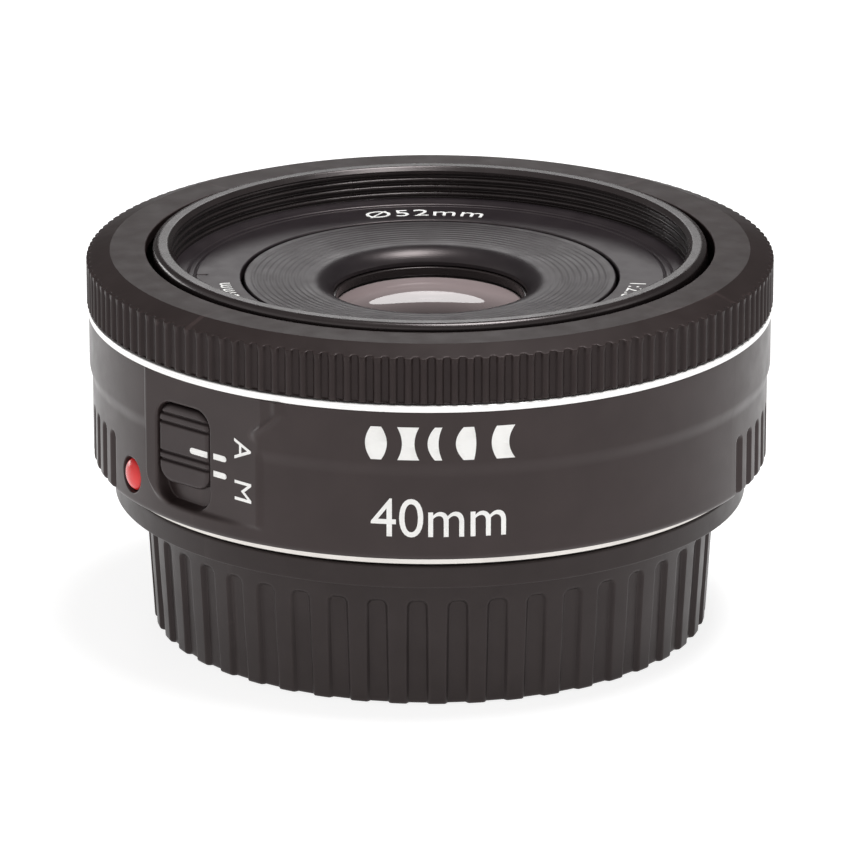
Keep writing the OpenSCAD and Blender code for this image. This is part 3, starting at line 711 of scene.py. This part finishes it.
# ---------------------------------------------------------------- glass
def lens_blank(name, node, r, top, top_r, low, low_r):
    """A glass element between two spherical faces; negative radii are hollow faces."""
    def face(vertex, radius, upper):
        rr = np.linspace(0, r - 0.12, 26)
        sag = abs(radius) - np.sqrt(radius * radius - rr * rr)
        sign = (-1 if radius > 0 else 1) * (1 if upper else -1)
        return [np.array([a, vertex + sign * s]) for a, s in zip(rr, sag)]

    upper, lower = face(top, top_r, True), face(low, low_r, False)
    rim = [np.array([r, lower[-1][1] + 0.1]), np.array([r, upper[-1][1] - 0.1])]
    outline = np.array(lower + rim + upper[::-1])
    outline[outline[:, 0] < 1e-6, 0] = 1e-6
    material = FRONT_GLASS_PAINTED if node == "front_element" else MATERIALS["optical_glass"]
    revolve(name, outline, material, "optics", (node,), np.arange(0, 360, 3.0), merge=True)


for blank in (("front_glass", "front_element", 9.75, 17.53, 30, 14.6, -60),
              ("second_glass", "second_element", 7.5, 14.2, 24, 12.12, 40),
              ("third_glass", "third_element", 7.5, 12.06, -40, 11.6, -30),
              ("fourth_glass", "fourth_element", 7.4, 6.82, -40, 6.24, -14),
              ("fifth_glass", "fifth_element", 7.4, 6.18, 14, 3.2, 60),
              ("rear_glass", "rear_element", 8.6, 2.95, 50, 0, 28)):
    lens_blank(*blank)


# ---------------------------------------------------------------- focus switch knob
KNOB_W, KNOB_H, KNOB_CORNER = SLOT_W - 0.25, 8.0, 1.75
KNOB_Z = SWITCH_Z + SLOT_H / 2 - 0.25 - KNOB_H / 2
KNOB_FACE = PANEL_FLAT - 0.05


def build_knob():
    """A block with filleted edges and two pairs of grip grooves across its face."""
    nx, nz = 100, 180
    x = np.linspace(-KNOB_W / 2, KNOB_W / 2, nx)
    z = np.linspace(-KNOB_H / 2, KNOB_H / 2, nz)
    xx, zz = np.meshgrid(x, z, indexing="ij")
    inside = -rounded_box(xx, zz, KNOB_W / 2, KNOB_H / 2, KNOB_CORNER)
    fillet = 0.5
    t = np.clip(1 - inside / fillet, 0, 1)
    depth = KNOB_FACE - fillet * (1 - np.sqrt(np.maximum(1 - t * t, 0)))
    for groove in (3.0, 2.1, -0.95, -1.75):
        depth = depth - 0.28 * np.exp(-((zz - groove) / 0.13) ** 2)
    pull = np.maximum(-inside, 0)
    dx = np.maximum(np.abs(xx) - KNOB_W / 2 + KNOB_CORNER, 0)
    dz = np.maximum(np.abs(zz) - KNOB_H / 2 + KNOB_CORNER, 0)
    length = np.hypot(dx, dz) + 1e-9
    xx, zz = xx - np.sign(xx) * dx / length * pull, zz - np.sign(zz) * dz / length * pull
    front = outward(PANEL_PHI, depth, xx + SWITCH_X, zz + KNOB_Z)
    back = outward(PANEL_PHI, np.full_like(depth, SLOT_FLOOR - 0.35), xx + SWITCH_X, zz + KNOB_Z)
    verts = np.concatenate([front.reshape(-1, 3), back.reshape(-1, 3)])
    quads = grid_faces(nx, nz, False, False)
    count = nx * nz
    faces = quads + [[count + i for i in q[::-1]] for q in quads]
    rim = ([i * nz for i in range(nx)] + [(nx - 1) * nz + j for j in range(1, nz)]
           + [i * nz + nz - 1 for i in range(nx - 2, -1, -1)] + [j for j in range(nz - 2, 0, -1)])
    for a, b in zip(rim, rim[1:] + rim[:1]):
        faces.append([b, a, count + a, count + b])
    place("switch_slider", verts, faces, MATERIALS["knob_plastic"], "switch_knob", ("switch_knob",),
          True)


build_knob()

# ---------------------------------------------------------------- rear cap
CAP_BOTTOM = -MOUNT_Z
CAP_GROOVES = 45
CAP_R = 28.5
CAP_BAND_R = 31.5


def build_rear_cap():
    """Dust cap: a tapered cup with round-topped grip grooves below a plain band."""
    half, depth, top, corner = 0.92, 0.42, -5.1, 0.6
    pitch = 360 / CAP_GROOVES

    def grooved(phi, r, z):
        x = (np.mod(phi / pitch, 1) - 0.5) * math.radians(pitch) * CAP_R
        height = z - CAP_BOTTOM
        wide = half + 0.012 * np.maximum(top - z, 0)
        away = rounded_box(x, height - (top - CAP_BOTTOM - 20), wide, 20, corner)
        outer = smooth(CAP_R - 1.9, CAP_R - 1.6, r) * (z < -2.7)
        return r - depth * (1 - smooth(-0.1, 0.1, away)) * outer, z

    outline = rounded([
        (1e-6, CAP_BOTTOM + 0.35), (20.0, CAP_BOTTOM + 0.35, 0.15), (20.6, CAP_BOTTOM, 0.15),
        (CAP_R - 0.8, CAP_BOTTOM, 0.35), (CAP_R, -2.6, 0.25), (CAP_BAND_R, -2.6, 0.15),
        (CAP_BAND_R, -0.33, 0.25), (27.2, -0.33, 0.1), (27.2, -7.0), (26.0, -7.0),
        (26.0, CAP_BOTTOM + 1.5, 0.5), (1e-6, CAP_BOTTOM + 1.5)])
    dense = fill(outline, 0.16)
    # the flat floor needs few points
    keep = np.array([p for p in dense if p[0] > 26.9 or abs(round(p[0]) - p[0]) < 0.09 or p[0] < 0.01
                     or 19.5 < p[0] < 21])
    revolve("dust_cap", keep, MATERIALS["cap_plastic"], "rear_cap", ("rear_cap",),
            np.arange(0, 360, pitch / 26), grooved, merge=True)


build_rear_cap()


def build_cap_lugs():
    """Three inward lugs that hold the cap behind the mount's own."""
    half_angle, steps = 28, 40
    section = rounded([(25.1, -6.2, 0.15), (27.3, -6.2), (27.3, -4.5), (25.1, -4.5, 0.15)])
    count = len(section)
    rr = np.broadcast_to(section[:, 0], (steps, count))
    zz = np.broadcast_to(section[:, 1], rr.shape)
    ends = [list(range(count))[::-1], [(steps - 1) * count + i for i in range(count)]]
    for k in range(3):
        angle = np.radians(np.linspace(-half_angle, half_angle, steps) + 120 * k)[:, None]
        place(f"cap_lug_{k + 1}", turned_points(angle, rr, zz), grid_faces(steps, count, False, True) + ends,
              MATERIALS["cap_plastic"], "rear_cap", ())


build_cap_lugs()


# ---------------------------------------------------------------- printed markings
def lettering(text, height, spacing=1.0):
    """Flat letters as points and triangles, with long edges cut so that they can be bent."""
    curve = bpy.data.curves.new("letters", "FONT")
    curve.body = text
    curve.size = height * 1.37
    curve.space_character = spacing
    curve.align_x = "CENTER"
    curve.resolution_u = 6
    holder = bpy.data.objects.new("letters", curve)
    bpy.context.scene.collection.objects.link(holder)
    mesh = bpy.data.meshes.new_from_object(holder.evaluated_get(bpy.context.evaluated_depsgraph_get()))
    bpy.data.objects.remove(holder)
    bm = bmesh.new()
    bm.from_mesh(mesh)
    bmesh.ops.triangulate(bm, faces=bm.faces)
    for _ in range(4):
        long = [e for e in bm.edges if e.calc_length() > 0.45]
        if long:
            bmesh.ops.subdivide_edges(bm, edges=long, cuts=1)
            bmesh.ops.triangulate(bm, faces=[f for f in bm.faces if len(f.verts) > 3])
    bmesh.ops.remove_doubles(bm, verts=bm.verts, dist=1e-4)
    verts = np.array([v.co[:] for v in bm.verts])
    faces = [[v.index for v in f.verts] for f in bm.faces]
    bm.free()
    bpy.data.curves.remove(curve)
    verts[:, 1] -= (verts[:, 1].max() + verts[:, 1].min()) / 2
    verts[:, 0] -= (verts[:, 0].max() + verts[:, 0].min()) / 2
    return verts[:, :2], faces


def print_on(name, flat, faces, body, bend, lift=0.03, sink=0.03):
    """Turns flat shapes into thin solid print; bend(points, height) puts them on a surface."""
    count = len(flat)
    verts = np.concatenate([bend(flat, lift), bend(flat, -sink)])
    area = 0
    for f in faces:
        (ax, ay), (bx, by), (cx, cy) = flat[f[0]], flat[f[1]], flat[f[2]]
        area += (bx - ax) * (cy - ay) - (by - ay) * (cx - ax)
    if area < 0:
        faces = [f[::-1] for f in faces]
    edges = dict.fromkeys((a, b) for f in faces for a, b in zip(f, f[1:] + f[:1]))
    sides = [[b, a, count + a, count + b] for a, b in edges if (b, a) not in edges]
    back = [[count + i for i in f[::-1]] for f in faces]
    obj = place(name, verts, faces + back + sides, WHITE_PAINT, body, ())
    for polygon in obj.data.polygons:
        polygon.use_smooth = False
    return obj


def on_wall(phi, z, radius):
    """Round the outside of the barrel."""
    def bend(flat, height):
        return turned_points(np.radians(phi) + flat[:, 0] / radius, radius + height, flat[:, 1] + z)
    return bend


def on_panel(across, z, turned=True):
    """Flat on the switch panel, read from the side when turned."""
    def bend(flat, height):
        x, y = (flat[:, 1], -flat[:, 0]) if turned else (flat[:, 0], flat[:, 1])
        return outward(PANEL_PHI, np.full(len(flat), PANEL_FLAT + height), across + x, y + z)
    return bend


def on_knob(across, z):
    """Flat on the knob's face."""
    def bend(flat, height):
        return outward(PANEL_PHI, np.full(len(flat), KNOB_FACE + height), across + flat[:, 0], z + flat[:, 1])
    return bend


def on_name_ring(phi, radius):
    """Letters read from outside the far side: their tops point away from the axis."""
    def bend(flat, height):
        r = radius + flat[:, 1]
        return turned_points(np.radians(phi) - flat[:, 0] / radius, r, name_height(r) + height)
    return bend


def bar(width, height, round_left=True, round_right=True, steps=8):
    """A stroke with round ends, as a fan of triangles."""
    r = height / 2
    outline = []
    for centre, start, on in ((width / 2 - r, -90, round_right), (-width / 2 + r, 90, round_left)):
        if on:
            outline += [(centre + r * math.cos(math.radians(start + 180 * k / steps)),
                         r * math.sin(math.radians(start + 180 * k / steps))) for k in range(steps + 1)]
        else:
            edge = math.copysign(width / 2, centre)
            outline += [(edge, math.copysign(r, -centre)), (edge, math.copysign(r, centre))]
    flat = np.array([(0.0, 0.0)] + outline)
    n = len(outline)
    return flat, [[0, 1 + k, 1 + (k + 1) % n] for k in range(n)]


def silhouette(half_w, half_h, left, right, rows=22):
    """Side view of a glass element: each side bulges (positive) or is hollow (negative)."""
    y = np.linspace(-half_h, half_h, rows)
    shape = 1 - (y / half_h) ** 2
    xl, xr = -half_w - left * shape, half_w + right * shape
    flat = np.concatenate([np.stack([xl, y], -1), np.stack([xr, y], -1)])
    faces = []
    for k in range(rows - 1):
        faces += [[k, rows + k, rows + k + 1], [k, rows + k + 1, k + 1]]
    return flat, faces


digits, digit_faces = lettering("40mm", 4.05)
print_on("focal_length", digits * (0.95, 1), digit_faces, "barrel", on_wall(-0.1, 5.3, COVER_LOW_R))
pictogram = ((-6.6, 0.5, 0.55, 0.55), (-3.5, 1.05, -0.45, -0.45), (-0.6, 0.35, 0.7, -0.35),
             (2.3, 0.5, 0.75, 0.2), (5.9, 0.9, 0.5, -0.6))
for i, (x, half_w, left, right) in enumerate(pictogram):
    flat, faces = silhouette(half_w, 1.65, left, right)
    print_on(f"lens_symbol_{i + 1}", flat + (x, 0), faces, "barrel", on_wall(0.9, 12.9, COVER_R))
print_on("auto_mark", *lettering("A", 2.3), "barrel", on_panel(5.2, 10.4))
print_on("manual_mark", *lettering("M", 2.3), "barrel", on_panel(5.2, 6.2))
for label, height in (("auto_line", 8.95), ("manual_line", 7.2)):
    print_on(label, *bar(1.7, 0.6, False, True), "barrel", on_panel(2.2, height, False))
print_on("knob_line", *bar(2.3, 0.62, True, False), "switch_knob", on_knob(-0.65, 8.85))
letters, letter_faces = lettering("Ø52mm", 2.1, 1.1)
print_on("filter_size", letters * (1.22, 1), letter_faces, "optics", on_name_ring(180, 21.2))
for name, label, phi in (("ring_focal_length", "40mm", -75), ("ring_aperture", "1:2.8", 74)):
    print_on(name, *lettering(label, 1.7, 1.15), "optics", on_name_ring(phi, 20.8))


# ---------------------------------------------------------------- studio
def area_light(name, location, target, size, power):
    light = bpy.data.lights.new(name, "AREA")
    light.shape = "ELLIPSE"
    light.size, light.size_y = size
    light.energy = power
    obj = bpy.data.objects.new(name, light)
    obj.location = location
    direction = Vector(target) - Vector(location)
    obj.rotation_euler = direction.to_track_quat("-Z", "Y").to_euler()
    bpy.context.scene.collection.objects.link(obj)


def build_floor():
    """White paper that glows a little, so that the object's shadow stays faint."""
    size, steps = 1.2, 24
    axis = np.linspace(-size, size, steps)
    xx, yy = np.meshgrid(axis, axis, indexing="ij")
    verts = np.stack([xx, yy, np.zeros_like(xx)], -1).reshape(-1, 3)
    mesh = bpy.data.meshes.new("floor")
    mesh.from_pydata(verts.tolist(), [], grid_faces(steps, steps, False, False))
    obj = bpy.data.objects.new("floor", mesh)
    bpy.context.scene.collection.objects.link(obj)
    material = bpy.data.materials.new("floor_paper")
    tree, shader = nodes_of(material)
    cloud = spread(tree, noise(tree, 60, 4), 0, 1)
    tree.links.new(blend(tree, cloud, (0.41, 0.41, 0.41), (0.43, 0.43, 0.43)), shader.inputs["Base Color"])
    shader.inputs["Roughness"].default_value = 0.7
    shader.inputs["Emission Color"].default_value = (1, 1, 1, 1)
    shader.inputs["Emission Strength"].default_value = 0.8
    mesh.materials.append(material)


build_floor()


def build_sky():
    """White round the horizon, dimmer overhead, behind and a little dimmer on the right."""
    world = bpy.data.worlds.new("studio")
    bpy.context.scene.world = world
    world.use_nodes = True
    tree = world.node_tree
    coords = tree.nodes.new("ShaderNodeTexCoord")
    parts = tree.nodes.new("ShaderNodeSeparateXYZ")
    tree.links.new(coords.outputs["Generated"], parts.inputs[0])
    high = spread(tree, parts.outputs["Z"], 1.0, 0.45, 0.45, 0.62)
    side = spread(tree, parts.outputs["X"], 1.0, 0.6, -0.4, 0.9)
    behind = spread(tree, parts.outputs["Y"], 1.0, 0.12, -0.1, 0.7)
    both = math_node(tree, "MULTIPLY", high, side)
    tree.links.new(math_node(tree, "MULTIPLY", both, behind), tree.nodes["Background"].inputs["Strength"])
    tree.nodes["Background"].inputs["Color"].default_value = (1, 0.985, 0.98, 1)


build_sky()
CENTRE = (0, 0, 0.025)
area_light("left_box", (-0.42, 0.36, 0.07), CENTRE, (0.3, 0.12), 0.4)
area_light("right_box", (0.5, -0.1, 0.2), CENTRE, (0.25, 0.2), 0.12)
area_light("top_box", (0.08, 0.0, 0.5), CENTRE, (0.24, 0.2), 2.4)
area_light("back_box", (0.01, 0.6, 0.295), CENTRE, (0.2, 0.14), 0.17)

camera_data = bpy.data.cameras.new("camera")
camera = bpy.data.objects.new("camera", camera_data)
bpy.context.scene.collection.objects.link(camera)
bpy.context.scene.camera = camera
CAMERA_DISTANCE = 750.0
CAMERA_AZIMUTH = math.radians(-1.5)
CAMERA_ELEVATION = math.radians(17.91)
AIM_Z, PIVOT_Z = 2.96, 11.4
flat_reach = CAMERA_DISTANCE * math.cos(CAMERA_ELEVATION)
camera.location = (math.sin(CAMERA_AZIMUTH) * flat_reach * MM, -math.cos(CAMERA_AZIMUTH) * flat_reach * MM,
                   (MOUNT_Z + PIVOT_Z + CAMERA_DISTANCE * math.sin(CAMERA_ELEVATION)) * MM)
aim = Vector((0, 0, (MOUNT_Z + AIM_Z) * MM))
camera.rotation_euler = (aim - camera.location).to_track_quat("-Z", "Y").to_euler()
camera_data.sensor_width = 36
camera_data.lens = 315
camera_data.clip_start, camera_data.clip_end = 0.05, 10
bpy.context.scene.view_settings.view_transform = "Standard"
